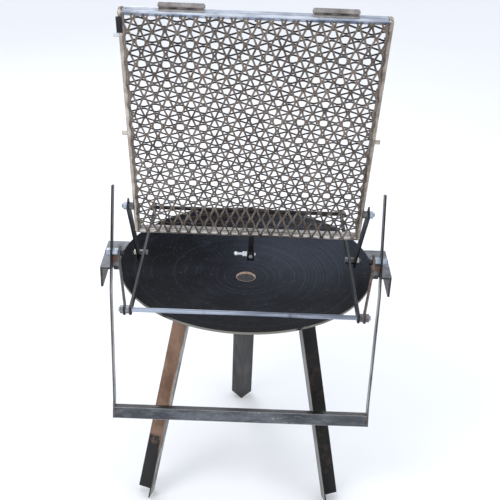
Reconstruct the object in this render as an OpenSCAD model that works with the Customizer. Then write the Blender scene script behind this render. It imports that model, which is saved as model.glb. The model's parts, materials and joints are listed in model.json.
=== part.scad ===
// Charcoal and coal fire pan on three legs, with a swing-over grill basket.
// Millimetres. X to the right, Y to the back, Z up. The origin is on the ground
// below the middle of the pan.

/* [Fire pan] */
// Diameter of the dished pan
pan_d = 560; // [540:2:580]
// Depth of the dish at its middle
pan_depth = 37; // [34:1:40]
// Thickness of the dished plate
pan_t = 5; // [4:0.5:6]
// Diameter of the hole in the middle of the pan
pan_hole_d = 42; // [30:1:60]
// Height of the rim above the ground
rim_z = 564; // [540:1:600]

/* [Legs] */
// Width of each flange of the leg angle
leg_w = 38; // [34:1:40]
// Thickness of the leg angle
leg_t = 3; // [2:0.5:4]
// Distance of a foot from the middle of the pan
leg_foot_r = 237; // [232:1:240]
// How far a front leg is turned towards the front, in degrees
leg_turn = 32; // [30:0.5:34]
// Splay of a leg from the vertical, in degrees
leg_splay = 12; // [11.5:0.1:12.5]

/* [Side brackets] */
// Width of each flange of the bracket angle
bracket_w = 50; // [45:1:55]
// Thickness of the bracket angle
bracket_t = 5; // [4:0.5:6]
// Distance of a bracket's outer face from the middle
bracket_x = 322; // [320:1:326]
// Length of a bracket from front to back
bracket_len = 124; // [110:1:150]

/* [Main pivot] */
// Distance of the main pivot axis in front of the middle of the pan
pivot_front = 25; // [22:1:28]
// Height of the main pivot axis above the ground
pivot_z = 592; // [590:1:596]
// Diameter of the main bolts
main_bolt_d = 9.5; // [9:0.5:10]

/* [Swing frame] */
// Lean of the swing frame at rest, in degrees
swing_lean = 20.6; // [20.4:0.1:21]
// Length of a swing bar above the pivot
swing_up = 147; // [130:1:170]
// Distance from the pivot to the front tube
swing_down = 360; // [355:1:362]
// Size of the square front tube
tube_w = 25; // [20:1:25]
// Wall of the square front tube
tube_wall = 2; // [1.5:0.5:3]

/* [Cradle] */
// Distance of the front rod in front of the pivot
cradle_front = 231; // [226:1:236]
// Distance of the rear rod behind the pivot
cradle_rear = 230; // [220:1:235]
// Diameter of the two cross rods
rod_d = 9.5; // [8:0.5:10]
// Height of the cradle bars and struts, set on edge
cradle_bar_h = 18; // [16:1:20]

/* [Lift arms] */
// Width of a lift arm
arm_w = 25; // [20:1:25]
// Diameter of the arm bolts
arm_bolt_d = 8; // [7:0.5:8]

/* [Basket] */
// Width of the basket
basket_w = 454; // [440:2:456]
// Height of the basket
basket_h = 502; // [480:1:510]
// Lean of the basket towards the front, in degrees
basket_lean = 16.4; // [15:0.1:18]
// Diameter of the round bar that frames each panel
frame_d = 9.5; // [9:0.5:10]
// Thickness of the expanded mesh
mesh_t = 3; // [2:0.5:3]
// Short way of a mesh diamond
mesh_swd = 20.6; // [18:0.1:26]
// Long way of a mesh diamond
mesh_lwd = 43.6; // [40:0.1:50]
// Width of a mesh strand
strand_w = 3.2; // [2.5:0.1:4]
// Height of the basket pivots above its bottom edge
basket_pivot_h = 69.5; // [60:0.5:80]

/* [Hidden] */

$fn = 64;
flat_t = 5;              // thickness of the cradle's flat bar
thin_t = 3.2;            // thickness of the swing bars and lift arms
running_gap = 0.05;      // radial clearance of a bolt in a bar that turns on it
side_gap = 0.3;          // gap between faces that turn past each other
weld_gap = 0.05;         // root gap between pieces that are welded together
over = 1;                // how far a cut runs past the solid that it cuts
past_nut = 3;            // bolt or rod end that shows past its nut

// Dished pan: two spheres about one centre
pan_r = pan_d / 2;
pan_in_r = (pan_r * pan_r + pan_depth * pan_depth) / (2 * pan_depth);
pan_out_r = pan_in_r + pan_t;
pan_centre_z = rim_z - pan_depth + pan_in_r;
sphere_fn = 180;
leg_stock = 600;         // leg length before it is cut to the pan
rear_azimuth = 90;

// Height of the pan's underside at a distance r from its middle
function pan_under(r) = pan_centre_z - sqrt(pan_out_r * pan_out_r - r * r);

pivot_y = -pivot_front;
bracket_top = pan_under(bracket_x - bracket_w) - weld_gap;
post_depth = 14;
bracket_front_y = pivot_y - post_depth / 2;
big_nut_af = 14.5;
big_nut_t = 9;
small_nut_af = 13;
small_nut_t = 7;
long_nut_l = 12.6;
notch_gap = 2.5;         // room beside a swing bar in its notch
notch_depth = 12;

// Stack along X at the main pivot, from the inside out
strut_x = 276;                                   // inner face of a strut
long_nut_x = strut_x + flat_t + side_gap;
swing_x = long_nut_x + long_nut_l + side_gap;    // inner face of a swing bar
main_nut_x = swing_x + thin_t + side_gap;
main_bolt_end = main_nut_x + big_nut_t + past_nut;
main_head_t = 6.5;
head_root = 0.5;         // how far a shank runs into its head

// Swing bar
swing_bar_w = 25;
swing_in = 12;           // how far the lower end is drawn in
swing_bend = 80;         // where the bar starts to bend, below the pivot
swing_foot = 20;         // straight length above the tube

// Cradle and lift arms, stacked along X
cradle_x = 221.5;                                // inner face of a cradle bar
spacer_x = cradle_x + flat_t + side_gap;
spacer_l = 8.4;
arm_x = spacer_x + spacer_l + side_gap;          // inner face of a lift arm
arm_nut_x = arm_x + thin_t + side_gap;
arm_bolt_end = arm_nut_x + small_nut_t + past_nut;
arm_head_t = 5.5;
corner_x = 233.5;                                // inner face of a strut at the corner
corner_nut_t = 6.4;
corner_straight = 7;     // straight end of a strut on both sides of its rod
back_straight = 14;      // straight end of a strut on both sides of the pivot
bar_beyond = 6;          // cradle bar beyond its rods

// Basket: Y runs from its front face to its back, Z up along it
basket_front_y = -143;   // bottom edge of the front face
basket_bottom_z = 700;
frame_r = frame_d / 2;
stile_x = basket_w / 2 - frame_r;
tray_y = mesh_t + frame_r;                       // middle of the tray's round bar
panel_gap = 0.5;
lid_y = tray_y + frame_d + panel_gap;            // middle of the lid's round bar
rail_low = frame_r;
rail_high = basket_h - frame_r;
lid_mesh_y = lid_y + frame_r;
mesh_in = 8;             // edge of a mesh inside the basket's side
mesh_z = 2;              // bottom edge of both meshes
mesh_low = 4;            // top edge of both meshes below the basket's top
mesh_w = basket_w - 2 * mesh_in;
mesh_h = basket_h - mesh_z - mesh_low;
opening = 0.94;          // share of the space between strand middles that is open
basket_nut_l = arm_x - side_gap - basket_w / 2;  // long nut between stile and arm
stud_z = 250;
stud_d = 8;
stud_l = 9;
shank_start = 0.5;       // inner end of a pivot bolt, outside the stile

// Strap and stud near the top of the left stile
strap_w = 10;
strap_l = 29;
strap_t = 2.9;
strap_low = 10;          // top of the strap below the basket's top
corner_stud_low = 47;    // middle of the stud below the basket's top

// Lift arm: from the main pivot to the basket pivot
basket_pivot_y = basket_front_y - basket_pivot_h * sin(basket_lean) + tray_y * cos(basket_lean);
basket_pivot_z = basket_bottom_z + basket_pivot_h * cos(basket_lean) + tray_y * sin(basket_lean);
arm_dy = basket_pivot_y - pivot_y;
arm_dz = basket_pivot_z - pivot_z;
arm_len = sqrt(arm_dy * arm_dy + arm_dz * arm_dz);
arm_lean = atan2(-arm_dy, arm_dz);
arm_end = 10;            // bar left beyond each bolt

// Butt hinges on the top rails
hinge_left = -122;
hinge_right = 132;
hinge_l = 75;
hinge_leaf_w = 10.5;
leaf_t = 2.5;
knuckle_r = 5;
leaf_low = 5.35;         // underside of a leaf below the pin
knuckle_n = 5;
knuckle_l = hinge_l / knuckle_n;
knuckle_gap = 0.15;
pin_r = 2;
pin_head_r = 3;
pin_head_t = 1.5;
hinge_z = basket_h + leaf_low + weld_gap;

// Latch at the bottom of the tray
latch_x = 8;
latch_w = 11;
latch_d = 10;
latch_drop = 42;
latch_block_w = 14.5;
latch_block_d = 12;
latch_block_h = 24;
latch_bolt_z = -53;
latch_bolt_r = 3;
latch_nut_af = 10;
latch_nut_t = 4;
latch_left = -30;        // end of the slide, left of the post
latch_right = 10;
latch_head_r = 4.7;
latch_screw_af = 7;
latch_screw_t = 3;
latch_root = 1.5;        // how far the post reaches up past the basket's bottom edge
latch_nut_gap = 1;

// ---- helpers ----

module on_x(x0, x1, r) {
    translate([x0, 0, 0]) rotate([0, 90, 0]) cylinder(h = x1 - x0, r = r);
}

module hex_on_x(x0, x1, af) {
    translate([x0, 0, 0]) rotate([0, 90, 0]) rotate([0, 0, 30])
        cylinder(h = x1 - x0, d = af / cos(30), $fn = 6);
}

module nut(x0, x1, af, bore_r) {
    difference() {
        hex_on_x(x0, x1, af);
        on_x(x0 - over, x1 + over, bore_r);
    }
}

module bolt(head_x, head_t, x1, af, r) {
    hex_on_x(head_x, head_x + head_t, af);
    on_x(head_x + head_t - head_root, x1, r);
}

module left_side() {
    mirror([1, 0, 0]) children();
}

module both_sides() {
    children();
    left_side() children();
}

module at_pivot() {
    translate([0, pivot_y, pivot_z]) children();
}

module at_swing() {
    at_pivot() rotate([-swing_lean, 0, 0]) children();
}

module at_arm() {
    at_pivot() rotate([arm_lean, 0, 0]) children();
}

module at_basket() {
    translate([0, basket_front_y, basket_bottom_z]) rotate([basket_lean, 0, 0]) children();
}

module at_basket_pivot() {
    at_basket() translate([0, tray_y, basket_pivot_h]) children();
}

module angle_section(w, t) {
    polygon([[0, 0], [w, 0], [w, t], [t, t], [t, w], [0, w]]);
}

// ---- base ----

module fire_pan() {
    color("#23252b") difference() {
        intersection() {
            translate([0, 0, rim_z - pan_depth - 2 * pan_t])
                cylinder(h = pan_depth + 2 * pan_t, r = pan_r, $fn = sphere_fn);
            translate([0, 0, pan_centre_z]) sphere(r = pan_out_r, $fn = sphere_fn);
        }
        translate([0, 0, pan_centre_z]) sphere(r = pan_in_r, $fn = sphere_fn);
        translate([0, 0, rim_z - pan_depth - 3 * pan_t])
            cylinder(h = pan_depth, d = pan_hole_d);
    }
}

module leg(azimuth) {
    difference() {
        rotate([0, 0, azimuth]) translate([leg_foot_r, 0, 0]) rotate([0, -leg_splay, 0])
            rotate([0, 0, -45]) linear_extrude(leg_stock) angle_section(leg_w, leg_t);
        translate([0, 0, pan_centre_z]) sphere(r = pan_out_r + weld_gap, $fn = sphere_fn);
    }
}

module leg_rear() { color("#2b2d31") leg(rear_azimuth); }

module leg_front_left() { color("#5a4238") leg(180 + leg_turn); }

module leg_front_right() { color("#2f3134") leg(-leg_turn); }

module bracket() {
    difference() {
        translate([bracket_x, bracket_front_y, bracket_top]) rotate([-90, 0, 0])
            rotate([0, 0, 90]) linear_extrude(bracket_len) angle_section(bracket_w, bracket_t);
        translate([swing_x - notch_gap, bracket_front_y - over, bracket_top - 2 * bracket_t])
            cube([thin_t + 2 * notch_gap, notch_depth + over, 3 * bracket_t]);
    }
}

module bracket_left() { color("#3c3733") left_side() bracket(); }

module bracket_right() { color("#3c3733") bracket(); }

module pivot_post() {
    post_top = pivot_z - big_nut_af / 2 - weld_gap;
    translate([long_nut_x, pivot_y - post_depth / 2, bracket_top + weld_gap])
        cube([long_nut_l, post_depth, post_top - bracket_top - weld_gap]);
}

module pivot_post_left() { color("#7a5442") left_side() pivot_post(); }

module pivot_post_right() { color("#7a5442") pivot_post(); }

module main_long_nuts() {
    color("#9aa7b8") both_sides() at_pivot()
        nut(long_nut_x, long_nut_x + long_nut_l, big_nut_af, main_bolt_d / 2 + running_gap);
}

module main_bolts() {
    color("#8d99a8") both_sides() at_pivot()
        bolt(strut_x - side_gap - main_head_t, main_head_t, main_bolt_end, big_nut_af,
            main_bolt_d / 2);
}

module main_bolt_nuts() {
    color("#9aa7b8") both_sides() at_pivot()
        nut(main_nut_x, main_nut_x + big_nut_t, big_nut_af, main_bolt_d / 2 + running_gap);
}

// ---- swing frame ----

function swing_outline(inner, outer) = [
    [outer, swing_up], [inner, swing_up],
    [inner, -swing_bend],
    [inner - swing_in, -(swing_down - tube_w / 2 - swing_foot)],
    [inner - swing_in, -(swing_down + tube_w / 2)],
    [outer - swing_in, -(swing_down + tube_w / 2)],
    [outer - swing_in, -(swing_down - tube_w / 2 - swing_foot)],
    [outer, -swing_bend]
];

module swing_bar() {
    at_swing() difference() {
        rotate([90, 0, 0]) linear_extrude(swing_bar_w, center = true)
            polygon(swing_outline(swing_x, swing_x + thin_t));
        on_x(swing_x - over, swing_x + thin_t + over, main_bolt_d / 2 + running_gap);
    }
}

module swing_bar_left() { color("#2a2b2e") left_side() swing_bar(); }

module swing_bar_right() { color("#2a2b2e") swing_bar(); }

module front_tube() {
    half = swing_x - swing_in - weld_gap;
    color("#33363c") at_swing() translate([-half, 0, -swing_down]) rotate([0, 90, 0])
        linear_extrude(2 * half) difference() {
            square(tube_w, center = true);
            square(tube_w - 2 * tube_wall, center = true);
        }
}

// ---- cradle ----

module cradle_bar() {
    back = cradle_rear + bar_beyond;
    front = cradle_front + bar_beyond;
    at_pivot() difference() {
        translate([cradle_x, -front, -cradle_bar_h / 2])
            cube([flat_t, front + back, cradle_bar_h]);
        on_x(cradle_x - over, cradle_x + flat_t + over, arm_bolt_d / 2 + running_gap);
        for (y = [-cradle_front, cradle_rear]) translate([0, y, 0])
            on_x(cradle_x - over, cradle_x + flat_t + over, rod_d / 2 + running_gap);
    }
}

module cradle_bar_left() { color("#3b3d41") left_side() cradle_bar(); }

module cradle_bar_right() { color("#3b3d41") cradle_bar(); }

function strut_outline(x_back, x_front) = [
    [x_back, back_straight], [x_back, -back_straight],
    [x_front, -(cradle_front - corner_straight)], [x_front, -(cradle_front + corner_straight)],
    [x_front + flat_t, -(cradle_front + corner_straight)],
    [x_front + flat_t, -(cradle_front - corner_straight)],
    [x_back + flat_t, -back_straight], [x_back + flat_t, back_straight]
];

module cradle_strut() {
    at_pivot() difference() {
        translate([0, 0, -cradle_bar_h / 2]) linear_extrude(cradle_bar_h)
            polygon(strut_outline(strut_x, corner_x));
        on_x(strut_x - over, strut_x + flat_t + over, main_bolt_d / 2 + running_gap);
        translate([0, -cradle_front, 0])
            on_x(corner_x - over, corner_x + flat_t + over, rod_d / 2 + running_gap);
    }
}

module cradle_strut_left() { color("#26272a") left_side() cradle_strut(); }

module cradle_strut_right() { color("#6a4a3a") cradle_strut(); }

module cradle_front_rod() {
    half = corner_x + flat_t + corner_nut_t + past_nut;
    color("#8f9db0") at_pivot() translate([0, -cradle_front, 0]) on_x(-half, half, rod_d / 2);
}

module cradle_rear_rod() {
    half = cradle_x + flat_t + corner_nut_t + past_nut;
    color("#4a4c50") at_pivot() translate([0, cradle_rear, 0]) on_x(-half, half, rod_d / 2);
}

module cradle_nuts() {
    bore_r = rod_d / 2 + running_gap;
    inner = cradle_x + flat_t + weld_gap;
    outer = corner_x + flat_t + weld_gap;
    color("#a9adb2") both_sides() at_pivot() {
        translate([0, -cradle_front, 0]) {
            nut(inner, corner_x - weld_gap, big_nut_af, bore_r);
            nut(outer, outer + corner_nut_t, big_nut_af, bore_r);
        }
        translate([0, cradle_rear, 0]) nut(inner, inner + corner_nut_t, big_nut_af, bore_r);
    }
}

module arm_foot_bolts() {
    color("#a9adb2") both_sides() at_pivot()
        bolt(cradle_x - weld_gap - arm_head_t, arm_head_t, arm_bolt_end, small_nut_af,
            arm_bolt_d / 2);
}

module arm_foot_spacers() {
    color("#8a8d92") both_sides() at_pivot()
        nut(spacer_x, spacer_x + spacer_l, small_nut_af, arm_bolt_d / 2 + running_gap);
}

module arm_foot_nuts() {
    color("#c2bfb4") both_sides() at_pivot()
        nut(arm_nut_x, arm_nut_x + small_nut_t, small_nut_af, arm_bolt_d / 2 + running_gap);
}

// ---- lift arms ----

module lift_arm() {
    at_arm() difference() {
        translate([arm_x, -arm_w / 2, -arm_end]) cube([thin_t, arm_w, arm_len + 2 * arm_end]);
        for (z = [0, arm_len]) translate([0, 0, z])
            on_x(arm_x - over, arm_x + thin_t + over, arm_bolt_d / 2 + running_gap);
    }
}

module lift_arm_left() { color("#2c2e31") left_side() lift_arm(); }

module lift_arm_right() { color("#4a4b49") lift_arm(); }

// ---- basket panels ----

module stile(y) {
    at_basket() translate([stile_x, y, 0]) {
        translate([0, 0, rail_low]) cylinder(h = rail_high - rail_low, r = frame_r);
        for (z = [rail_low, rail_high]) translate([0, 0, z]) sphere(r = frame_r);
    }
}

module rail(y, z) {
    at_basket() difference() {
        translate([0, y, z]) on_x(-stile_x, stile_x, frame_r);
        for (x = [-stile_x, stile_x]) translate([x, y, z - 2 * frame_r])
            cylinder(h = 4 * frame_r, r = frame_r + weld_gap);
    }
}

// One diamond opening, middle at [x, z]
module diamond(x, z, half_x, half_z) {
    translate([x, z]) polygon([[half_x, 0], [0, half_z], [-half_x, 0], [0, -half_z]]);
}

// Flat expanded mesh: rows of whole diamonds, every other row set half a step over
module mesh_sheet(width, height, step_x, step_z) {
    half_x = step_x / 2 - strand_w * step_x / norm([step_x, step_z]);
    half_z = step_z / 2 - strand_w * step_z / norm([step_x, step_z]);
    cols = floor((width / step_x - 1) / 2);
    rows = floor((height / step_z - 1) * 2);
    low_z = (height - rows * step_z / 2) / 2;
    linear_extrude(mesh_t) difference() {
        translate([-width / 2, 0]) square([width, height]);
        for (j = [0:rows]) let (shift = (j % 2) / 2)
            for (i = [-cols:cols - (j % 2)])
                diamond((i + shift) * step_x, low_z + j * step_z / 2, half_x * opening, half_z * opening);
    }
}

module tray_mesh() {
    color("#6e5f55") at_basket() translate([0, mesh_t, mesh_z]) rotate([90, 0, 0])
        mesh_sheet(mesh_w, mesh_h, mesh_swd, mesh_lwd);
}

module lid_mesh() {
    color("#4d443f") at_basket() translate([0, lid_mesh_y + mesh_t, mesh_z]) rotate([90, 0, 0])
        mesh_sheet(mesh_w, mesh_h, mesh_lwd, mesh_swd);
}

module tray_top_rail() { color("#8ea2bd") rail(tray_y, rail_high); }

module tray_bottom_rail() { color("#aab2bf") rail(tray_y, rail_low); }

module tray_stile_left() { color("#b9aea3") left_side() stile(tray_y); }

module tray_stile_right() { color("#9a8f84") stile(tray_y); }

module lid_top_rail() { color("#7f8fa6") rail(lid_y, rail_high); }

module lid_bottom_rail() { color("#8f98a6") rail(lid_y, rail_low); }

module lid_stile_left() { color("#8c8279") left_side() stile(lid_y); }

module lid_stile_right() { color("#8c8279") stile(lid_y); }

// The round bar of a stile and a gap round it, to fit pieces against it
module stile_clear(y, gap) {
    at_basket() translate([stile_x, y, 0])
        cylinder(h = basket_h, r = frame_r + gap);
}

module basket_long_nuts() {
    color("#55585c") both_sides() difference() {
        at_basket_pivot() nut(basket_w / 2 - over, basket_w / 2 + basket_nut_l, small_nut_af,
            arm_bolt_d / 2 + running_gap);
        stile_clear(tray_y, weld_gap);
        stile_clear(lid_y, side_gap);
    }
}

module basket_pivot_bolts() {
    color("#9ea2a8") both_sides() at_basket_pivot()
        on_x(basket_w / 2 + shank_start, arm_bolt_end, arm_bolt_d / 2);
}

module basket_pivot_nuts() {
    color("#c9ccd0") both_sides() at_basket_pivot()
        nut(arm_nut_x, arm_nut_x + small_nut_t, small_nut_af, arm_bolt_d / 2 + running_gap);
}

module side_studs() {
    color("#c9c6bd") both_sides() difference() {
        at_basket() translate([0, tray_y, stud_z])
            on_x(stile_x, basket_w / 2 + stud_l, stud_d / 2);
        stile_clear(tray_y, weld_gap);
    }
}

module corner_strap() {
    color("#23262c") left_side() at_basket()
        translate([mesh_w / 2 + weld_gap, 0, basket_h - strap_low - strap_l])
            cube([strap_w, strap_t, strap_l]);
}

module corner_stud() {
    color("#d9d4c6") left_side() difference() {
        at_basket() translate([0, tray_y, basket_h - corner_stud_low])
            on_x(stile_x, basket_w / 2 + stud_l, stud_d / 2);
        stile_clear(tray_y, weld_gap);
    }
}

// ---- hinges ----

// Barrel of one knuckle, number k along the hinge
module knuckle(k) {
    start = -hinge_l / 2 + k * knuckle_l;
    on_x(start + knuckle_gap, start + knuckle_l - knuckle_gap, knuckle_r);
}

// Leaf lying towards -Y, with the knuckles listed. It runs on under its own knuckles to
// the distance short of the pin.
module hinge_leaf(knuckles, short) {
    clear_w = knuckle_r + side_gap;
    difference() {
        union() {
            translate([-hinge_l / 2, -hinge_leaf_w, -leaf_low])
                cube([hinge_l, hinge_leaf_w - clear_w, leaf_t]);
            for (k = knuckles) {
                knuckle(k);
                translate([-hinge_l / 2 + k * knuckle_l + knuckle_gap, -hinge_leaf_w, -leaf_low])
                    cube([knuckle_l - 2 * knuckle_gap, hinge_leaf_w - short, leaf_t]);
            }
        }
        on_x(-hinge_l, hinge_l, pin_r + running_gap);
    }
}

module at_hinges() {
    for (x = [hinge_left, hinge_right]) at_basket() translate([x, lid_y, hinge_z]) children();
}

module tray_hinge_leaves() { color("#a79d90") at_hinges() hinge_leaf([0, 2, 4], pin_r); }

module lid_hinge_leaves() {
    color("#a79d90") at_hinges() mirror([0, 1, 0]) hinge_leaf([1, 3], 0);
}

module hinge_pins() {
    color("#8b8780") at_hinges() {
        on_x(-hinge_l / 2, hinge_l / 2, pin_r);
        for (x = [-hinge_l / 2 - pin_head_t, hinge_l / 2]) on_x(x, x + pin_head_t, pin_head_r);
    }
}

// ---- latch ----

module at_latch() {
    at_basket() translate([latch_x, tray_y, 0]) children();
}

// The latch post runs from the bottom rail down into its block
module latch_post() {
    color("#17181b") difference() {
        at_latch() translate([-latch_w / 2, -latch_d / 2, -latch_drop])
            cube([latch_w, latch_d, latch_drop + latch_root]);
        at_latch() translate([0, 0, rail_low]) on_x(-latch_w, latch_w, frame_r + weld_gap);
    }
}

module latch_block() {
    top = -latch_drop - weld_gap;
    color("#1d1d20") at_latch() difference() {
        translate([-latch_block_w / 2, -latch_block_d / 2, top - latch_block_h])
            cube([latch_block_w, latch_block_d, latch_block_h]);
        translate([0, 0, latch_bolt_z])
            on_x(-latch_block_w, latch_block_w, latch_bolt_r + running_gap);
    }
}

module latch_screw() {
    front = -latch_block_d / 2 - weld_gap;
    color("#d8d4c4") at_latch() translate([0, front, latch_bolt_z]) rotate([90, 0, 0])
        cylinder(h = latch_screw_t, d = latch_screw_af / cos(30), $fn = 6);
}

// A round bar with a turned ball at its left end
module latch_bolt() {
    neck = sqrt(latch_head_r * latch_head_r - latch_bolt_r * latch_bolt_r);
    color("#c9d0d6") at_latch() translate([latch_left, 0, latch_bolt_z]) rotate([0, 90, 0])
        rotate_extrude() polygon(concat(
            [for (a = [-90:15:45]) latch_head_r * [cos(a), sin(a)]],
            [[latch_bolt_r, neck], [latch_bolt_r, latch_right - latch_left],
            [0, latch_right - latch_left]]));
}

module latch_nuts() {
    near = -latch_block_w / 2 - side_gap;
    color("#b5bcc2") at_latch() translate([0, 0, latch_bolt_z]) {
        nut(near - latch_nut_t, near, latch_nut_af, latch_bolt_r + running_gap);
        translate([-latch_nut_t - latch_nut_gap, 0, 0])
            nut(near - latch_nut_t, near, latch_nut_af, latch_bolt_r + running_gap);
    }
}

fire_pan();
leg_rear();
leg_front_left();
leg_front_right();
bracket_left();
bracket_right();
pivot_post_left();
pivot_post_right();
main_long_nuts();
main_bolts();
main_bolt_nuts();
swing_bar_left();
swing_bar_right();
front_tube();
cradle_bar_left();
cradle_bar_right();
cradle_strut_left();
cradle_strut_right();
cradle_front_rod();
cradle_rear_rod();
cradle_nuts();
arm_foot_bolts();
arm_foot_spacers();
arm_foot_nuts();
lift_arm_left();
lift_arm_right();
tray_top_rail();
tray_bottom_rail();
tray_stile_left();
tray_stile_right();
tray_mesh();
basket_long_nuts();
basket_pivot_bolts();
basket_pivot_nuts();
side_studs();
corner_strap();
corner_stud();
latch_post();
latch_block();
latch_screw();
tray_hinge_leaves();
hinge_pins();
lid_top_rail();
lid_bottom_rail();
lid_stile_left();
lid_stile_right();
lid_mesh();
lid_hinge_leaves();
latch_bolt();
latch_nuts();
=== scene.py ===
"""Looks for the fire pan with its swing-over grill basket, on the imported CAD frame. Metres."""
import json
import math
import random

import bmesh
import bpy
from mathutils import Matrix, Vector


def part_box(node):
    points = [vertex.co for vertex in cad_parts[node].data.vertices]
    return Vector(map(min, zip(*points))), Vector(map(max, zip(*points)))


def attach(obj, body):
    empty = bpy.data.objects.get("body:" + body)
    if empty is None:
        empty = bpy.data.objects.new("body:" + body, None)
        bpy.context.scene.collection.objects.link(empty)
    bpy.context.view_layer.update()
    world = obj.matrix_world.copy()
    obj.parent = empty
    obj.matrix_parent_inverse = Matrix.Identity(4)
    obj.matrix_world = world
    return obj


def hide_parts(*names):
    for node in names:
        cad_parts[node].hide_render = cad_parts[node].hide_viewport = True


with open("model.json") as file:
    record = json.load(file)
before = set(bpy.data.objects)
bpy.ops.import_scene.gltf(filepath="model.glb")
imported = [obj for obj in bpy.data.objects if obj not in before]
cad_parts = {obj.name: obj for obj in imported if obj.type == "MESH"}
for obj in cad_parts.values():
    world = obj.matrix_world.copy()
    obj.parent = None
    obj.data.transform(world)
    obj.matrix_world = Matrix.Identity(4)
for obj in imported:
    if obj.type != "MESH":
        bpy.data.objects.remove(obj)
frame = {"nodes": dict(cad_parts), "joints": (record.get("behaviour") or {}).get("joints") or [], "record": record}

NODES = frame["nodes"]
JOINTS = {j["name"]: j for j in frame["joints"]}
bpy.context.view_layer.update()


# ---- camera ----

def make_camera():
    """The camera stands in front of the object, a little above it, and is rolled slightly."""
    place = Vector((-0.001, -1.751, 1.548))
    pitch, turn, roll = math.radians(28.54), math.radians(0.26), math.radians(2.26)
    forward = Vector((math.sin(turn) * math.cos(pitch), math.cos(turn) * math.cos(pitch),
                      -math.sin(pitch)))
    right = Vector((math.cos(turn), -math.sin(turn), 0))
    up = right.cross(forward)
    right, up = (right * math.cos(roll) + up * math.sin(roll),
                 up * math.cos(roll) - right * math.sin(roll))
    data = bpy.data.cameras.new("camera")
    data.sensor_width = 36
    data.lens = 64.8
    camera = bpy.data.objects.new("camera", data)
    axes = Matrix((right, up, -forward)).transposed().to_4x4()
    camera.matrix_world = Matrix.Translation(place) @ axes
    bpy.context.scene.collection.objects.link(camera)
    bpy.context.scene.camera = camera


make_camera()
bpy.context.scene.view_settings.view_transform = "Standard"


# ---- frames of the tilted assemblies ----

def node_centre(name):
    low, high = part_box(name)
    return (Vector(low) + Vector(high)) / 2


PIVOT = Vector(JOINTS["frame_swing"]["pos_m"])
BASKET_UP = (node_centre("tray_top_rail") - node_centre("tray_bottom_rail")).normalized()
BASKET_BACK = Vector((1, 0, 0)).cross(BASKET_UP) * -1
SIDE = Vector((1, 0, 0))
RAIL_R = (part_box("tray_top_rail")[1][2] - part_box("tray_top_rail")[0][2]) / 2
RAIL_LOW = node_centre("tray_bottom_rail")
RAIL_HIGH = node_centre("tray_top_rail")


def basket_point(x, back, up):
    """A point x to the side, back behind and up above the middle of the tray's bottom rail."""
    return RAIL_LOW + SIDE * x + BASKET_BACK * back + BASKET_UP * up


# ---- materials ----

class Look:
    """A procedural material, wired from the object's own coordinates to its shader."""

    def __init__(self, name, metallic, bevel=0.0009):
        self.material = bpy.data.materials.new(name)
        self.material.use_nodes = True
        self.tree = self.material.node_tree
        self.shader = self.tree.nodes["Principled BSDF"]
        self.shader.inputs["Metallic"].default_value = metallic
        self.place = self.add("ShaderNodeTexCoord").outputs["Object"]
        self.soft_edge = self.add("ShaderNodeBevel", Radius=bevel)
        self.soft_edge.samples = 4
        self.normal = self.soft_edge.outputs["Normal"]

    def add(self, kind, **inputs):
        node = self.tree.nodes.new(kind)
        for key, value in inputs.items():
            self.feed(node.inputs[key.replace("_", " ")], value)
        return node

    def feed(self, socket, value):
        if isinstance(value, bpy.types.NodeSocket):
            self.tree.links.new(value, socket)
        elif socket.type == "RGBA" and len(value) == 3:
            socket.default_value = (*value, 1)
        else:
            socket.default_value = value

    def math(self, operation, a, b=0.0, clamp=False):
        node = self.add("ShaderNodeMath")
        node.operation = operation
        node.use_clamp = clamp
        self.feed(node.inputs[0], a)
        self.feed(node.inputs[1], b)
        return node.outputs[0]

    def stretched(self, scale, source=None):
        node = self.add("ShaderNodeMapping", Scale=scale, Vector=source or self.place)
        return node.outputs[0]

    def noise(self, scale, detail=4.0, rough=0.55, stretch=(1, 1, 1), source=None):
        node = self.add("ShaderNodeTexNoise", Scale=scale, Detail=detail, Roughness=rough,
                        Vector=self.stretched(stretch, source))
        return node.outputs["Fac"]

    def step(self, value, low, high):
        """0 below low, 1 above high, smooth between."""
        node = self.add("ShaderNodeMapRange")
        node.interpolation_type = "SMOOTHSTEP"
        self.feed(node.inputs["Value"], value)
        self.feed(node.inputs["From Min"], low)
        self.feed(node.inputs["From Max"], high)
        return node.outputs["Result"]

    def mix(self, share, a, b):
        node = self.add("ShaderNodeMix")
        node.data_type = "RGBA"
        self.feed(node.inputs[0], share)
        self.feed(node.inputs[6], a)
        self.feed(node.inputs[7], b)
        return node.outputs[2]

    def edges(self, gain=5.0):
        """How close a point is to a sharp edge, from 0 to 1."""
        flat = self.add("ShaderNodeNewGeometry").outputs["Normal"]
        dot = self.add("ShaderNodeVectorMath")
        dot.operation = "DOT_PRODUCT"
        self.feed(dot.inputs[0], flat)
        self.feed(dot.inputs[1], self.soft_edge.outputs["Normal"])
        away = self.math("SUBTRACT", 1.0, dot.outputs["Value"])
        return self.math("MULTIPLY", away, gain, clamp=True)

    def facing(self, direction):
        """How far the surface faces a direction, from 0 to 1."""
        dot = self.add("ShaderNodeVectorMath")
        dot.operation = "DOT_PRODUCT"
        self.feed(dot.inputs[0], self.add("ShaderNodeNewGeometry").outputs["Normal"])
        self.feed(dot.inputs[1], direction)
        return self.math("MAXIMUM", dot.outputs["Value"], 0.0)

    def axis(self, letter):
        return self.add("ShaderNodeSeparateXYZ", Vector=self.place).outputs[letter]

    def bump(self, height, depth, strength=1.0):
        node = self.add("ShaderNodeBump", Height=height, Distance=depth, Strength=strength,
                        Normal=self.normal)
        self.normal = node.outputs["Normal"]

    def finish(self, colour, rough):
        self.feed(self.shader.inputs["Base Color"], colour)
        self.feed(self.shader.inputs["Roughness"], rough)
        self.feed(self.shader.inputs["Normal"], self.normal)
        return self.material

    def range(self, value, low, high):
        """A 0 to 1 value turned into low to high."""
        return self.math("ADD", self.math("MULTIPLY", value, high - low), low)


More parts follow.
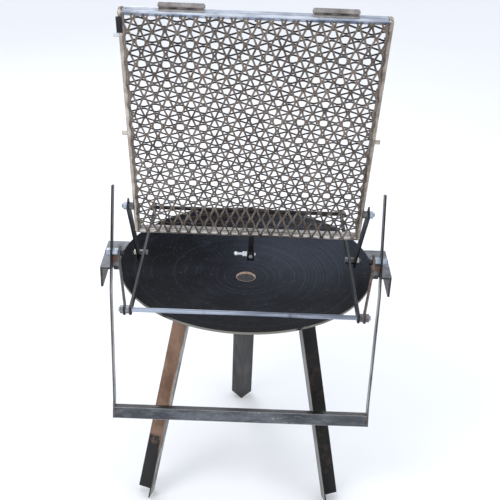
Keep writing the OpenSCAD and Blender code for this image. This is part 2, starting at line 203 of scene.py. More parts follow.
def worn(name, dark, light, patch=None, patch_from=0.55, edge=None, metallic=0.4,
         rough=(0.38, 0.62), grain=90, stretch=(1, 1, 1), pitting=0.00025):
    """Steel or paint in two tones, with patches of a third colour and rubbed edges."""
    look = Look(name, metallic)
    cloud = look.noise(grain * 0.25, 5, 0.6, stretch)
    fine = look.noise(grain * 4, 3, 0.6, stretch)
    colour = look.mix(look.step(cloud, 0.35, 0.65), dark, light)
    colour = look.mix(look.math("MULTIPLY", look.step(fine, 0.5, 0.75), 0.5), colour, light)
    if patch:
        where = look.noise(grain * 0.45, 6, 0.7)
        colour = look.mix(look.step(where, patch_from, patch_from + 0.08), colour, patch)
    if edge:
        rubbed = look.math("MULTIPLY", look.edges(), look.step(cloud, 0.3, 0.5), clamp=True)
        colour = look.mix(rubbed, colour, edge)
    look.bump(fine, pitting)
    look.bump(cloud, pitting * 1.6)
    return look.finish(colour, look.range(cloud, *rough))


HOLE_R = 0.021              # radius of the hole in the middle of the pan
SHEEN_SPOT = (0.15, 0.12, 0)  # middle of a lighter patch on the pan, a painted sheen


def dish_look():
    """Blue-black disc steel: fine brushed rings, a lighter patch that is a painted sheen, a
    lighter rim edge that is a painted highlight, and a pale brown wall in the middle hole."""
    look = Look("dish_steel", 0.03)
    flat = look.add("ShaderNodeVectorMath")
    flat.operation = "MULTIPLY"
    look.feed(flat.inputs[0], look.place)
    flat.inputs[1].default_value = (1, 1, 0)
    length = look.add("ShaderNodeVectorMath")
    length.operation = "LENGTH"
    look.feed(length.inputs[0], flat.outputs[0])
    radius = length.outputs["Value"]
    wobble = look.math("MULTIPLY", look.noise(5, 3), 0.012)
    ring_place = look.add("ShaderNodeCombineXYZ", X=look.math("ADD", radius, wobble))
    rings = look.noise(160, 4, 0.7, source=ring_place.outputs[0])
    wide_rings = look.noise(34, 3, 0.6, source=ring_place.outputs[0])
    cloud = look.noise(9, 5, 0.62)
    speck = look.noise(320, 2, 0.5)
    colour = look.mix(look.step(cloud, 0.35, 0.7), (0.0030, 0.0035, 0.0050), (0.0085, 0.0100, 0.0145))
    ring_share = look.math("MULTIPLY", look.step(rings, 0.5, 0.72), look.step(cloud, 0.42, 0.7))
    # Painted sheen: around the spot given above, the pan is painted lighter and its rings show more.
    sheen_distance = look.add("ShaderNodeVectorMath")
    sheen_distance.operation = "DISTANCE"
    look.feed(sheen_distance.inputs[0], flat.outputs[0])
    sheen_distance.inputs[1].default_value = SHEEN_SPOT
    bare = look.math("SUBTRACT", 1.0, look.step(sheen_distance.outputs["Value"], 0.05, 0.26))
    bare = look.math("MULTIPLY", bare, look.range(look.noise(14, 5, 0.7), 0.5, 1.2))
    colour = look.mix(look.math("MULTIPLY", bare, 0.8), colour, (0.042, 0.048, 0.064))
    sheen_rings = look.math("MULTIPLY", bare, look.step(rings, 0.45, 0.7))
    ring_share = look.math("MAXIMUM", ring_share, sheen_rings)
    colour = look.mix(look.math("MULTIPLY", ring_share, 0.75), colour, (0.060, 0.068, 0.088))
    colour = look.mix(look.math("MULTIPLY", look.step(wide_rings, 0.55, 0.7), 0.4), colour,
                      (0.026, 0.030, 0.041))
    scuff = look.step(look.noise(58, 6, 0.75), 0.60, 0.68)
    colour = look.mix(look.math("MULTIPLY", scuff, 0.35), colour, (0.075, 0.080, 0.095))
    colour = look.mix(look.math("MULTIPLY", look.step(speck, 0.64, 0.72), 0.5), colour,
                      (0.10, 0.10, 0.11))
    wall = look.math("SUBTRACT", 1.0, look.step(radius, HOLE_R + 0.0003, HOLE_R + 0.0016))
    wall = look.math("MULTIPLY", wall, look.range(look.step(speck, 0.3, 0.6), 0.55, 1.0))
    colour = look.mix(wall, colour, (0.46, 0.33, 0.25))
    # Painted highlight: the rim's edge is painted lighter in patches.
    rim_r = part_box("fire_pan")[1][0]
    rim = look.step(radius, rim_r - 0.0007, rim_r - 0.0002)
    rim = look.math("MULTIPLY", rim, look.step(look.noise(22, 4), 0.28, 0.5))
    colour = look.mix(rim, colour, (0.20, 0.19, 0.165))
    look.bump(rings, 0.00022)
    look.bump(cloud, 0.0011)
    look.bump(speck, 0.0002)
    rough = look.math("ADD", look.range(cloud, 0.36, 0.52),
                      look.math("MULTIPLY", ring_share, -0.06))
    look.shader.inputs["Specular IOR Level"].default_value = 0.03
    return look.finish(colour, rough)


def flat_direction(degrees):
    """A level direction, given by its angle from the X axis."""
    return (math.cos(math.radians(degrees)), math.sin(math.radians(degrees)), 0)


FRONT_LEG_TURN = 32         # how far a front leg is turned towards the front
FRONT_LEG_FACE = 270 - 13   # the way the wide face of the left front leg looks


def rusty_leg_look():
    """Angle iron that is bare and rusty brown on the flange facing the front, and painted
    black near the foot; its other flange is dull grey."""
    look = Look("rusty_angle", 0.1)
    cloud = look.noise(26, 5, 0.65, (1, 1, 0.5))
    fine = look.noise(420, 3, 0.6)
    brown = look.mix(look.step(cloud, 0.35, 0.65), (0.185, 0.100, 0.062), (0.330, 0.200, 0.135))
    brown = look.mix(look.math("MULTIPLY", look.step(fine, 0.55, 0.7), 0.5), brown,
                     (0.085, 0.042, 0.028))
    grey = look.mix(look.step(cloud, 0.38, 0.6), (0.10, 0.095, 0.09), (0.42, 0.41, 0.39))
    grey = look.mix(look.math("MULTIPLY", look.step(fine, 0.5, 0.65), 0.5), grey,
                    (0.05, 0.045, 0.04))
    front = flat_direction(FRONT_LEG_FACE)
    on_face = look.step(look.facing(front), 0.5, 0.7)
    colour = look.mix(on_face, grey, brown)
    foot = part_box("leg_front_left")[1][2] * 0.27
    height = look.math("ADD", look.axis("Z"), look.math("MULTIPLY", look.noise(60, 5, 0.7), 0.08))
    black = look.math("SUBTRACT", 1.0, look.step(height, foot + 0.03, foot + 0.05))
    black = look.math("MULTIPLY", black, look.range(on_face, 0.25, 1.0))
    colour = look.mix(black, colour, (0.010, 0.009, 0.009))
    rubbed = look.math("MULTIPLY", look.edges(), 0.6)
    colour = look.mix(rubbed, colour, (0.03, 0.024, 0.022))
    look.bump(fine, 0.0003)
    look.bump(cloud, 0.0006)
    return look.finish(colour, look.range(cloud, 0.5, 0.72))


def black_leg_look():
    """Angle iron in worn black paint, with a bare grey flange on the side of the other leg."""
    look = Look("black_angle", 0.05)
    cloud = look.noise(22, 5, 0.62, (1, 1, 0.35))
    fine = look.noise(380, 3, 0.6)
    dark = look.mix(look.step(cloud, 0.35, 0.65), (0.006, 0.006, 0.006), (0.015, 0.014, 0.0135))
    brown = look.math("MULTIPLY", look.step(look.noise(34, 5, 0.7), 0.52, 0.62), 0.5)
    dark = look.mix(brown, dark, (0.055, 0.035, 0.028))
    grey = look.mix(look.step(cloud, 0.3, 0.7), (0.13, 0.13, 0.125), (0.30, 0.30, 0.29))
    grey = look.mix(look.math("MULTIPLY", look.step(fine, 0.5, 0.7), 0.4), grey,
                    (0.09, 0.09, 0.09))
    inner = flat_direction(180 - FRONT_LEG_TURN + 45)
    colour = look.mix(look.step(look.facing(inner), 0.5, 0.7), dark, grey)
    colour = look.mix(look.math("MULTIPLY", look.edges(), 0.7), colour, (0.02, 0.02, 0.02))
    look.bump(fine, 0.0003)
    look.bump(cloud, 0.0004)
    look.shader.inputs["Specular IOR Level"].default_value = 0.2
    return look.finish(colour, look.range(cloud, 0.42, 0.6))


def grey_leg_look():
    """Angle iron in bare mill grey, with soft streaks along its length."""
    look = Look("grey_angle", 0.1)
    streak = look.noise(60, 4, 0.6, (1, 1, 0.05))
    cloud = look.noise(14, 4, 0.6)
    colour = look.mix(look.step(streak, 0.3, 0.7), (0.020, 0.020, 0.020), (0.048, 0.047, 0.046))
    colour = look.mix(look.math("MULTIPLY", look.step(cloud, 0.5, 0.7), 0.5), colour,
                      (0.085, 0.083, 0.080))
    colour = look.mix(look.edges(), colour, (0.02, 0.02, 0.022))
    look.bump(streak, 0.0002)
    look.shader.inputs["Specular IOR Level"].default_value = 0.2
    return look.finish(colour, look.range(cloud, 0.35, 0.5))


def thin_bar_look(name, dark, side, edge, painted_light_below=None):
    """Flat bar with black edges, a lighter, rubbed face on each side and a painted highlight along
    its corners. Below a height its sides may be painted light grey, a painted light of lit faces."""
    look = Look(name, 0.25)
    cloud = look.noise(30, 5, 0.65, (1, 1, 0.4))
    fine = look.noise(400, 3, 0.6)
    face = look.math("MAXIMUM", look.facing((1, 0, 0)), look.facing((-1, 0, 0)))
    rubbed = look.math("MULTIPLY", look.step(face, 0.6, 0.85), look.step(cloud, 0.3, 0.55))
    colour = look.mix(rubbed, dark, side)
    # Painted light: below the given height the sides are painted light grey, standing for faces lit from the side.
    if painted_light_below:
        height = look.math("ADD", look.axis("Z"), look.math("MULTIPLY", cloud, 0.10))
        low = look.math("SUBTRACT", 1.0, look.step(height, painted_light_below, painted_light_below + 0.05))
        low = look.math("MULTIPLY", low, look.range(look.step(face, 0.6, 0.85), 0.25, 1.0))
        colour = look.mix(low, colour, look.mix(look.step(cloud, 0.35, 0.6), (0.16, 0.16, 0.155),
                                                (0.50, 0.50, 0.49)))
    colour = look.mix(look.math("MULTIPLY", look.step(fine, 0.52, 0.7), 0.5), colour, dark)
    # Painted highlight: patches of the corners are painted bright.
    bright = look.math("MULTIPLY", look.edges(), look.step(cloud, 0.5, 0.62))
    colour = look.mix(bright, colour, edge)
    look.bump(fine, 0.00025)
    look.bump(cloud, 0.0004)
    return look.finish(colour, look.range(cloud, 0.4, 0.6))


def bracket_look():
    """Angle iron, grey and scuffed on top and dark with brown stains on its other faces."""
    look = Look("bracket_paint", 0.3)
    cloud = look.noise(40, 6, 0.7)
    fine = look.noise(500, 3, 0.65)
    dark = look.mix(look.step(cloud, 0.35, 0.65), (0.020, 0.018, 0.018), (0.055, 0.047, 0.044))
    dark = look.mix(look.step(look.noise(55, 5, 0.7), 0.55, 0.65), dark, (0.085, 0.055, 0.042))
    top = look.mix(look.step(cloud, 0.35, 0.6), (0.085, 0.088, 0.096), (0.20, 0.205, 0.22))
    top = look.mix(look.math("MULTIPLY", look.step(fine, 0.5, 0.68), 0.5), top,
                   (0.05, 0.05, 0.055))
    colour = look.mix(look.step(look.facing((0, 0, 1)), 0.6, 0.85), dark, top)
    # Painted highlight, partly rubbed wear: patches of the edges are painted light.
    rubbed = look.math("MULTIPLY", look.edges(), look.step(cloud, 0.3, 0.5))
    colour = look.mix(rubbed, colour, (0.34, 0.33, 0.31))
    look.bump(fine, 0.0004)
    look.bump(cloud, 0.0006)
    return look.finish(colour, look.range(cloud, 0.45, 0.65))


def post_look():
    """Brown scale on the upper end of a post, bare grey steel at its foot."""
    look = Look("post_brown", 0.15)
    low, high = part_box("pivot_post_right")
    cloud = look.noise(70, 5, 0.65)
    fine = look.noise(600, 3, 0.6)
    brown = look.mix(look.step(cloud, 0.35, 0.65), (0.095, 0.050, 0.034), (0.230, 0.125, 0.085))
    grey = look.mix(look.step(cloud, 0.35, 0.65), (0.10, 0.10, 0.105), (0.28, 0.28, 0.29))
    height = look.math("ADD", look.axis("Z"), look.math("MULTIPLY", cloud, 0.012))
    middle = low[2] + (high[2] - low[2]) * 0.5
    colour = look.mix(look.step(height, middle, middle + 0.012), grey, brown)
    colour = look.mix(look.math("MULTIPLY", look.edges(), 0.5), colour, (0.40, 0.36, 0.32))
    look.bump(fine, 0.0003)
    return look.finish(colour, look.range(cloud, 0.5, 0.7))


def tube_look():
    """Square tube: a scratched blue-grey face to the front, black above, and a bright line
    along the corners, partly rubbed wear and partly a painted highlight."""
    look = Look("tube_steel", 0.2, bevel=0.0016)
    long_way = (0.1, 1, 1)
    cloud = look.noise(26, 5, 0.62, (0.35, 1, 1))
    scratch = look.noise(420, 3, 0.65, long_way)
    fleck = look.noise(260, 4, 0.7, (0.5, 1, 1))
    face = look.mix(look.step(cloud, 0.35, 0.65), (0.036, 0.040, 0.047), (0.115, 0.124, 0.142))
    face = look.mix(look.math("MULTIPLY", look.step(scratch, 0.52, 0.68), 0.5), face,
                    (0.20, 0.215, 0.235))
    pale = look.math("MULTIPLY", look.step(fleck, 0.58, 0.66), look.step(cloud, 0.45, 0.6))
    face = look.mix(look.math("MULTIPLY", pale, 0.7), face, (0.40, 0.42, 0.45))
    back = look.mix(look.step(cloud, 0.58, 0.72), (0.007, 0.006, 0.006), (0.30, 0.28, 0.26))
    lean = (node_centre("front_tube") - PIVOT).normalized()
    front = (0, lean.z, -lean.y)
    colour = look.mix(look.step(look.facing(front), 0.5, 0.8), back, face)
    # Painted highlight, partly rubbed wear: the corners are painted bright.
    rubbed = look.math("MULTIPLY", look.edges(6), look.range(look.step(scratch, 0.3, 0.5), 0.5, 1.0))
    colour = look.mix(rubbed, colour, (0.66, 0.67, 0.70))
    look.bump(scratch, 0.00025)
    look.bump(cloud, 0.0004)
    return look.finish(colour, look.range(cloud, 0.36, 0.55))


def threaded_look(name, dark, light, axis_letter="X", pitch=0.00175):
    """Zinc-plated bolt, with a thread along its axis."""
    look = Look(name, 0.9)
    cloud = look.noise(70, 4, 0.6)
    turn = look.math("MULTIPLY", look.axis(axis_letter), 2 * math.pi / pitch)
    thread = look.math("SINE", turn)
    colour = look.mix(look.step(cloud, 0.35, 0.65), dark, light)
    # Painted shade: the thread's grooves are painted dark.
    colour = look.mix(look.step(thread, -0.9, 0.2), (0.05, 0.05, 0.055), colour)
    look.bump(thread, 0.0006)
    return look.finish(colour, look.range(cloud, 0.28, 0.45))


def zinc_look(name, dark, light, patch=(0.16, 0.12, 0.09)):
    """Galvanised steel: cloudy spangle, dull spots of rust and bright rubbed edges."""
    look = Look(name, 0.85)
    spangle = look.add("ShaderNodeTexVoronoi", Scale=260, Vector=look.place).outputs["Color"]
    spangle = look.add("ShaderNodeSeparateColor", Color=spangle).outputs[0]
    cloud = look.noise(48, 5, 0.62)
    colour = look.mix(look.step(cloud, 0.3, 0.7), dark, light)
    colour = look.mix(look.math("MULTIPLY", spangle, 0.3), colour, dark)
    spots = look.step(look.noise(150, 4, 0.7), 0.62, 0.72)
    colour = look.mix(look.math("MULTIPLY", spots, 0.6), colour, patch)
    bright = look.math("MULTIPLY", look.edges(), 0.7)
    colour = look.mix(bright, colour, [min(1, c * 1.5) for c in light])
    look.bump(spangle, 0.00012)
    look.bump(cloud, 0.0003)
    return look.finish(colour, look.range(cloud, 0.30, 0.50))


def rail_look(name, sky_reflection_low, sky_reflection_high, painted_shade_low, painted_shade_high):
    """Plated round bar with a painted sky reflection on its upper side and painted shade on the side away from the
    sky.
    """
    look = Look(name, 0.7)
    cloud = look.noise(34, 5, 0.62, (0.4, 1, 1))
    fine = look.noise(360, 3, 0.6)
    # Painted reflection and shade: the upper side is painted pale, the rest in the darker tone.
    pale = look.mix(look.step(cloud, 0.3, 0.7), sky_reflection_low, sky_reflection_high)
    painted_shade_tone = look.mix(look.step(cloud, 0.35, 0.65), painted_shade_low, painted_shade_high)
    under = look.step(look.facing(BASKET_UP), 0.75, 0.25)
    uneven = look.range(look.step(look.noise(11, 3), 0.35, 0.6), 0.35, 1.0)
    under = look.math("MULTIPLY", under, uneven)
    colour = look.mix(under, pale, painted_shade_tone)
    spots = look.step(look.noise(120, 4, 0.7), 0.6, 0.7)
    colour = look.mix(look.math("MULTIPLY", spots, 0.45), colour, (0.15, 0.12, 0.10))
    look.bump(fine, 0.00015)
    look.bump(cloud, 0.0003)
    return look.finish(colour, look.range(cloud, 0.22, 0.42))


def mesh_look(name, dark, light, glint):
    """Expanded metal: brown-grey mill steel with rusty patches and painted glints on its edges."""
    look = Look(name, 0.45, bevel=0.0004)
    cloud = look.noise(30, 5, 0.65)
    fine = look.noise(700, 3, 0.6)
    colour = look.mix(look.step(cloud, 0.35, 0.65), dark, light)
    colour = look.mix(look.math("MULTIPLY", look.step(fine, 0.5, 0.7), 0.45), colour, dark)
    rust = look.step(look.noise(65, 5, 0.7), 0.56, 0.66)
    colour = look.mix(look.math("MULTIPLY", rust, 0.5), colour, (0.13, 0.068, 0.04))
    # Painted glints: in patches, the edges are painted in the glint colour.
    where = look.step(look.noise(17, 4, 0.6), 0.5, 0.62)
    colour = look.mix(look.math("MULTIPLY", look.edges(8), where, clamp=True), colour, glint)
    look.bump(fine, 0.0002)
    return look.finish(colour, look.range(cloud, 0.42, 0.62))


def bright_rod_look():
    """Bright-drawn rod: long blue-grey streaks along X, darker where it has been handled."""
    look = Look("bright_rod", 0.85)
    streak = look.noise(60, 4, 0.6, (0.08, 1, 1))
    cloud = look.noise(16, 4, 0.6)
    colour = look.mix(look.step(streak, 0.35, 0.65), (0.16, 0.18, 0.22), (0.42, 0.47, 0.56))
    colour = look.mix(look.step(cloud, 0.55, 0.75), colour, (0.07, 0.075, 0.09))
    look.bump(streak, 0.0002)
    return look.finish(colour, look.range(cloud, 0.26, 0.42))


def weld_look():
    """Weld metal: dark grey and burnt brown in patches, with a fine ripple."""
    look = Look("weld_metal", 0.6)
    cloud = look.noise(180, 4, 0.6)
    colour = look.mix(look.step(cloud, 0.4, 0.6), (0.045, 0.04, 0.04), (0.16, 0.13, 0.11))
    look.bump(cloud, 0.0005)
    return look.finish(colour, look.range(cloud, 0.35, 0.6))


LOOKS = {
    "dish_steel": dish_look(),
    "black_angle": black_leg_look(),
    "rusty_angle": rusty_leg_look(),
    "bracket_paint": bracket_look(),
    "post_brown": post_look(),
    "zinc": zinc_look("zinc", (0.26, 0.30, 0.38), (0.60, 0.66, 0.76)),
    "dull_nut": zinc_look("dull_nut", (0.07, 0.07, 0.075), (0.22, 0.225, 0.235)),
    "bar_black": thin_bar_look("bar_black", (0.008, 0.008, 0.008), (0.10, 0.10, 0.105),
                               (0.40, 0.40, 0.40), painted_light_below=PIVOT.z - 0.02),
    "bar_brown": worn("bar_brown", (0.040, 0.025, 0.019), (0.15, 0.092, 0.066),
                      patch=(0.02, 0.018, 0.018), patch_from=0.52, edge=(0.26, 0.17, 0.12)),
    "bar_grey": thin_bar_look("bar_grey", (0.008, 0.008, 0.009), (0.034, 0.036, 0.041),
                              (0.30, 0.31, 0.34)),
    "tube_steel": tube_look(),
    "bright_rod": bright_rod_look(),
    "rail_blue": rail_look("rail_blue", (0.30, 0.33, 0.38), (0.70, 0.73, 0.78),
                           (0.050, 0.075, 0.13), (0.16, 0.22, 0.35)),
    "stile_beige": zinc_look("stile_beige", (0.32, 0.27, 0.225), (0.62, 0.56, 0.49),
                             patch=(0.16, 0.10, 0.07)),
    "mesh_front": mesh_look("mesh_front", (0.065, 0.052, 0.043), (0.215, 0.178, 0.148),
                            (0.85, 0.70, 0.50)),
    # Painted shade: the rear sheet gets a darker copy of the front sheet's steel, with dimmer painted glints.
    "mesh_rear": mesh_look("mesh_rear", (0.018, 0.015, 0.013), (0.070, 0.057, 0.049),
                           (0.42, 0.35, 0.28)),
    "hinge_steel": zinc_look("hinge_steel", (0.20, 0.18, 0.17), (0.44, 0.41, 0.39),
                             patch=(0.10, 0.075, 0.06)),
    "latch_black": worn("latch_black", (0.005, 0.005, 0.006), (0.014, 0.015, 0.018),
                        edge=(0.10, 0.10, 0.11)),
    "latch_bright": zinc_look("latch_bright", (0.50, 0.53, 0.56), (0.85, 0.88, 0.90)),
}
LOOKS["threaded"] = threaded_look("threaded", (0.32, 0.35, 0.40), (0.62, 0.66, 0.72))
LOOKS["weld_metal"] = weld_look()
LOOKS["grey_angle"] = grey_leg_look()
LOOKS["rail_beige"] = rail_look("rail_beige", (0.48, 0.45, 0.42), (0.86, 0.83, 0.79),
                                (0.05, 0.045, 0.042), (0.20, 0.18, 0.165))
# Painted shade: a darker copy of the stile zinc, for the stiles that get less light.
LOOKS["stile_painted_shade"] = zinc_look("stile_painted_shade", (0.17, 0.14, 0.115), (0.44, 0.38, 0.32),
                                 patch=(0.09, 0.055, 0.038))
LOOKS["nut_beige"] = zinc_look("nut_beige", (0.26, 0.25, 0.205), (0.62, 0.60, 0.51))
LOOKS["nut_dark"] = zinc_look("nut_dark", (0.06, 0.06, 0.062), (0.30, 0.31, 0.33))

for part in frame["record"]["subparts"]:
    slots = NODES[part["node"]].data.materials
    slots.clear()
    slots.append(LOOKS[part["material_slot"]])
for name in ("main_bolts", "arm_foot_bolts", "basket_pivot_bolts"):
    NODES[name].data.materials[0] = LOOKS["threaded"]
for name, look in (("leg_rear", "grey_angle"), ("tray_bottom_rail", "rail_beige"),
                   ("lid_bottom_rail", "rail_beige"), ("tray_stile_right", "stile_painted_shade"),
                   ("lid_stile_left", "stile_painted_shade"), ("lid_stile_right", "stile_painted_shade"),
                   ("arm_foot_nuts", "nut_beige"), ("cradle_nuts", "nut_dark")):
    NODES[name].data.materials[0] = LOOKS[look]


# ---- mesh pieces ----

def add_mesh(name, bm, look, body):
    """A finished piece that rides on a CAD body."""
    bmesh.ops.recalc_face_normals(bm, faces=bm.faces)
    data = bpy.data.meshes.new(name)
    bm.to_mesh(data)
    bm.free()
    data.materials.append(LOOKS[look])
    piece = bpy.data.objects.new(name, data)
    bpy.context.scene.collection.objects.link(piece)
    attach(piece, body)
    return piece


def add_ring_tube(bm, rings):
    """Skins a list of rings, each a list of points, and closes both ends."""
    made = [[bm.verts.new(p) for p in ring] for ring in rings]
    count = len(made[0])
    for one, two in zip(made, made[1:]):
        for i in range(count):
            bm.faces.new((one[i], one[(i + 1) % count], two[(i + 1) % count], two[i]))
    bm.faces.new(list(reversed(made[0])))
    bm.faces.new(made[-1])


# Expanded metal: zigzag strands that run the long way of the diamonds and touch at the joints
STRAND_W = 0.0038
STRAND_T = 0.0014
STRAND_TILT = math.radians(15)
STRAND_STEP = 0.00025        # how far a strand rises or falls at a joint
JOINT_LEN = 0.0046
SHORT_WAY = 0.0206
LONG_WAY = 0.0436
SAME_PLACE = 1e-6            # rings closer than this are one ring
SHEET_T = 0.003              # thickness of the CAD plate that a sheet stands for
SHEET_REACH = 0.003          # how far a sheet may run on over the round bar
SHEET_RAISE = 0.004          # how far the upright strands stop short of the bottom edge


# A strand's section in half widths and half thicknesses: a bar with cut corners
STRAND_SECTION = ((-1, -0.6), (-0.8, -1), (0.8, -1), (1, -0.6),
                  (1, 0.6), (0.8, 1), (-0.8, 1), (-1, 0.6))


def strand_rings(across, start, end, side, origin, along_dir, across_dir, back_dir, middle):
    """The rings of one strand. It swings to one neighbour and then to the other."""
    swing = SHORT_WAY / 4 - STRAND_W / 2
    rings = []
    first = math.ceil(start / (LONG_WAY / 2))
    last = math.floor(end / (LONG_WAY / 2))
    stops = []
    for m in range(first - 1, last + 2):
        sign = 1 if (m + side) % 2 else -1
        for shift in (-JOINT_LEN / 2, JOINT_LEN / 2):
            stops.append((m * LONG_WAY / 2 + shift, sign))
    for (s0, g0), (s1, g1) in zip(stops, stops[1:]):
        for s in (s0, s1):
            is_new = not rings or abs(rings[-1][0] - s) > SAME_PLACE
            if start <= s <= end and is_new:
                rings.append((s, g0 if s == s0 else g1))
        for cut in (start, end):
            if s0 < cut < s1:
                share = (cut - s0) / (s1 - s0)
                rings.append((cut, g0 + (g1 - g0) * share))
    rings = sorted(rings)
    result = []
    half_w, half_t = STRAND_W / 2, STRAND_T / 2
    wide = across_dir * math.cos(STRAND_TILT) - back_dir * math.sin(STRAND_TILT)
    thick = wide.cross(along_dir).normalized()
    for s, g in rings:
        centre = (origin + along_dir * s + across_dir * (across + swing * g)
                  + back_dir * (middle - STRAND_STEP * g))
        result.append([centre + wide * (a * half_w) + thick * (b * half_t)
                       for a, b in STRAND_SECTION])
    return result


def expanded_sheet(name, node, look, body, long_way_up):
    """Makes an expanded-metal sheet in place of its CAD plate."""
    low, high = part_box(node)
    half_w = high[0]
    depth_mid = (node_centre(node) - RAIL_LOW).dot(BASKET_BACK)
    up_mid = (node_centre(node) - RAIL_LOW).dot(BASKET_UP)
    length = (high[2] - low[2]) / BASKET_UP.z
    half_h = (length - SHEET_T * abs(BASKET_BACK.z) / BASKET_UP.z) / 2
    origin = basket_point(0, 0, up_mid)
    bm = bmesh.new()
    if long_way_up:
        along, across, half_along, half_across = BASKET_UP, SIDE, half_h, half_w
    else:
        along, across, half_along, half_across = SIDE, BASKET_UP, half_w, half_h
    step = SHORT_WAY / 2
    count = int((half_across + SHEET_REACH - SHORT_WAY / 4) / step)
    start = (SHEET_RAISE if long_way_up else 0) - half_along
    for k in range(-count, count + 1):
        rings = strand_rings(k * step, start, half_along, k, origin, along, across,
                             BASKET_BACK, depth_mid)
        add_ring_tube(bm, rings)
    sheet = add_mesh(name, bm, look, body)
    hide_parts(node)


expanded_sheet("front_expanded_mesh", "tray_mesh", "mesh_front", "tray", True)
expanded_sheet("rear_expanded_mesh", "lid_mesh", "mesh_rear", "lid", False)


# ---- welds ----

def weld(bm, start, end, radius, seed):
    """A rippled bead from start to end, round in section."""
    chance = random.Random(seed)
    run = end - start
    along = run.normalized()
    one = along.orthogonal().normalized()
    two = along.cross(one)
    count = max(4, int(run.length / (radius * 0.45)))
    rings = []
    for i in range(count + 1):
        share = i / count
        cap = math.sqrt(max(0.02, 1 - abs(2 * share - 1) ** 6))
        ripple = 1 + 0.14 * math.sin(i * 2.1) + chance.uniform(-0.07, 0.07)
        r = radius * cap * ripple
        rings.append([start + run * share + (one * math.cos(a) + two * math.sin(a)) * r
                      for a in (2 * math.pi * j / 10 for j in range(10))])
    add_ring_tube(bm, rings)


def weld_set(name, beads, radius, body):
    bm = bmesh.new()
    for i, (start, end) in enumerate(beads):
        weld(bm, Vector(start), Vector(end), radius, name + str(i))
    piece = add_mesh(name, bm, "weld_metal", body)
    for face in piece.data.polygons:
        face.use_smooth = True
    return piece


def mirrored(beads):
    """The same beads on both sides of the object."""
    flip = Vector((-1, 1, 1))
    return beads + [(Vector(a) * flip, Vector(b) * flip) for a, b in beads]


LEG_BEAD_FROM = 0.003        # stretch of a flange that a leg's bead covers, from its corner
LEG_BEAD_TO = 0.034
LEG_BEAD_RISE = 0.003        # rise of the pan's underside over that stretch
BRACKET_BEAD_X = 0.2745      # where a bracket's top meets the underside of the rim
BRACKET_BEAD_Y = (-0.028, 0.040)
NUT_BEAD_Y = 0.0055          # how far the beads under a long nut lie from its axis


def leg_beads():
    """Short beads where each leg meets the underside of the pan."""
    beads = []
    corner_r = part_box("leg_rear")[0][1] + 0.0015
    for node, azimuth in (("leg_rear", 90), ("leg_front_left", 180 + FRONT_LEG_TURN),
                          ("leg_front_right", -FRONT_LEG_TURN)):
        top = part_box(node)[1][2] - 0.001
        out = Vector((math.cos(math.radians(azimuth)), math.sin(math.radians(azimuth)), 0))
        for turn in (-45, 45):
            flange = Matrix.Rotation(math.radians(turn), 3, "Z") @ out
            corner = out * corner_r + Vector((0, 0, top - 0.0055))
            start = corner + flange * LEG_BEAD_FROM
            end = corner + flange * LEG_BEAD_TO + Vector((0, 0, LEG_BEAD_RISE))
            beads.append((start, end))
    return beads


def base_beads():
    """Beads along the bracket's inner edge under the rim, and round the foot of each post."""
    post_low, post_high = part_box("pivot_post_right")
    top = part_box("bracket_right")[1][2]
    beads = [tuple((BRACKET_BEAD_X, y, top + 0.0004) for y in BRACKET_BEAD_Y)]
    for y in (post_low[1], post_high[1]):
        beads.append(((post_low[0] + 0.001, y, top + 0.001), (post_high[0] - 0.001, y, top + 0.001)))
    for y in (PIVOT.y - NUT_BEAD_Y, PIVOT.y + NUT_BEAD_Y):
        beads.append(((post_low[0] + 0.0012, y, post_high[2] + 0.0002),
                      (post_high[0] - 0.0012, y, post_high[2] + 0.0002)))
    return mirrored(beads)


weld_set("pan_leg_welds", leg_beads(), 0.0024, "base")
weld_set("bracket_and_post_welds", base_beads(), 0.0021, "base")


TUBE_HALF = 0.0125           # half the width of the square tube


def tube_beads():
    """Beads where the swing bars meet the ends of the front tube."""
    low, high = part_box("front_tube")
    middle = (Vector(low) + Vector(high)) / 2
    down = middle - PIVOT
    down.x = 0
    down.normalize()
    out = Vector((0, down.z, -down.y))
    end_middle = Vector((high[0] - 0.0012, middle.y, middle.z))

    def corner(low_or_high, back_or_front):
        """A point near a corner of the tube's end."""
        return (end_middle + down * (low_or_high * TUBE_HALF * 0.9)
                + out * (back_or_front * TUBE_HALF * 0.97))

    beads = [(corner(-1, -1), corner(1, -1)), (corner(-1, 1), corner(1, 1)),
             (corner(1, -1), corner(1, 1))]
    return mirrored(beads)


weld_set("front_tube_welds", tube_beads(), 0.0018, "swing_frame")


def tray_tacks():
    """Tacks that hold the front mesh to the round bars and along its sides."""
    beads = []
    height = (RAIL_HIGH - RAIL_LOW).length
    sheet_back = (node_centre("tray_mesh") - RAIL_LOW).dot(BASKET_BACK) + 0.0012
    stile_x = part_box("tray_stile_right")[1][0] - RAIL_R
    for k in range(-9, 10, 3):
        for up in (0.001, height - 0.004):
            spot = basket_point(k * SHORT_WAY, sheet_back, up)
            beads.append((spot - SIDE * 0.002, spot + SIDE * 0.002))
    for j in range(1, 11, 2):
        for side in (-1, 1):
            spot = basket_point(side * (stile_x - 0.004), sheet_back, j * LONG_WAY)
            beads.append((spot - BASKET_UP * 0.003, spot + BASKET_UP * 0.003))
    return beads


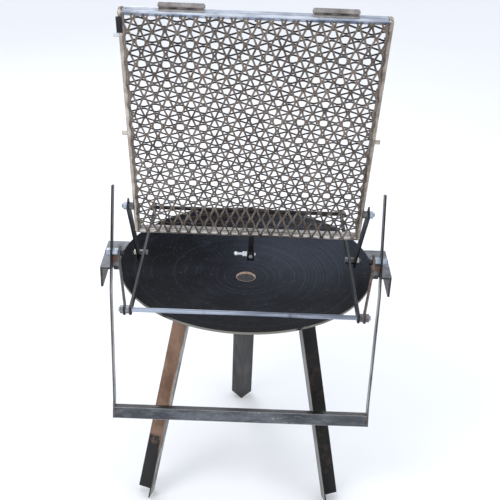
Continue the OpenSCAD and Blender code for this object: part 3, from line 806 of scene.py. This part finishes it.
def lid_tacks():
    """Tacks that hold the rear mesh to the lid's round bars."""
    beads = []
    height = (RAIL_HIGH - RAIL_LOW).length
    sheet_back = (node_centre("lid_mesh") - RAIL_LOW).dot(BASKET_BACK) - 0.0012
    stile_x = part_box("lid_stile_right")[1][0] - RAIL_R
    for k in range(-4, 5, 2):
        for up in (0.001, height - 0.004):
            spot = basket_point(k * LONG_WAY, sheet_back, up)
            beads.append((spot - SIDE * 0.003, spot + SIDE * 0.003))
    for j in range(2, 23, 5):
        for side in (-1, 1):
            spot = basket_point(side * (stile_x - 0.004), sheet_back, j * SHORT_WAY)
            beads.append((spot - BASKET_UP * 0.002, spot + BASKET_UP * 0.002))
    return beads


weld_set("tray_mesh_tacks", tray_tacks(), 0.0014, "tray")
weld_set("lid_mesh_tacks", lid_tacks(), 0.0014, "lid")


# ---- studio ----

FLOOR_HALF = 12.0


def make_floor():
    bm = bmesh.new()
    half = FLOOR_HALF
    signs = ((-1, -1), (1, -1), (1, 1), (-1, 1))
    bm.faces.new([bm.verts.new((x * half, y * half, 0)) for x, y in signs])
    data = bpy.data.meshes.new("floor")
    bm.to_mesh(data)
    bm.free()
    floor = bpy.data.objects.new("floor", data)
    look = Look("floor", 0.0)
    tone = look.noise(1.5, 3)
    data.materials.append(look.finish(look.mix(tone, (0.86, 0.86, 0.86), (0.90, 0.90, 0.90)), 0.9))
    bpy.context.scene.collection.objects.link(floor)


def make_area_light(name, place, target, size, power, colour):
    data = bpy.data.lights.new(name, "AREA")
    data.shape = "DISK"
    data.size = size
    data.energy = power
    data.color = colour
    light = bpy.data.objects.new(name, data)
    aim = (Vector(target) - Vector(place)).to_track_quat("-Z", "Y")
    light.matrix_world = Matrix.Translation(place) @ aim.to_matrix().to_4x4()
    bpy.context.scene.collection.objects.link(light)


def make_sky():
    """A pale sky, bluer overhead, so that tops of bars reflect blue-grey."""
    world = bpy.data.worlds.new("sky")
    world.use_nodes = True
    tree = world.node_tree
    background = tree.nodes["Background"]
    place = tree.nodes.new("ShaderNodeTexCoord")
    split = tree.nodes.new("ShaderNodeSeparateXYZ")
    blend = tree.nodes.new("ShaderNodeMix")
    blend.data_type = "RGBA"
    blend.inputs[6].default_value = (0.97, 0.97, 0.98, 1)
    blend.inputs[7].default_value = (0.78, 0.84, 0.96, 1)
    tree.links.new(place.outputs["Generated"], split.inputs[0])
    tree.links.new(split.outputs["Z"], blend.inputs[0])
    tree.links.new(blend.outputs[2], background.inputs["Color"])
    background.inputs["Strength"].default_value = 1.12
    bpy.context.scene.world = world


make_floor()
make_sky()
MIDDLE = (0, 0, 0.6)
make_area_light("key", (-1.7, -1.5, 2.8), MIDDLE, 1.3, 30, (1.0, 0.985, 0.96))
make_area_light("fill", (2.2, -1.2, 1.9), MIDDLE, 1.6, 14, (0.92, 0.96, 1.0))
make_area_light("back", (-1.1, 2.3, 2.4), MIDDLE, 1.4, 24, (0.97, 0.98, 1.0))
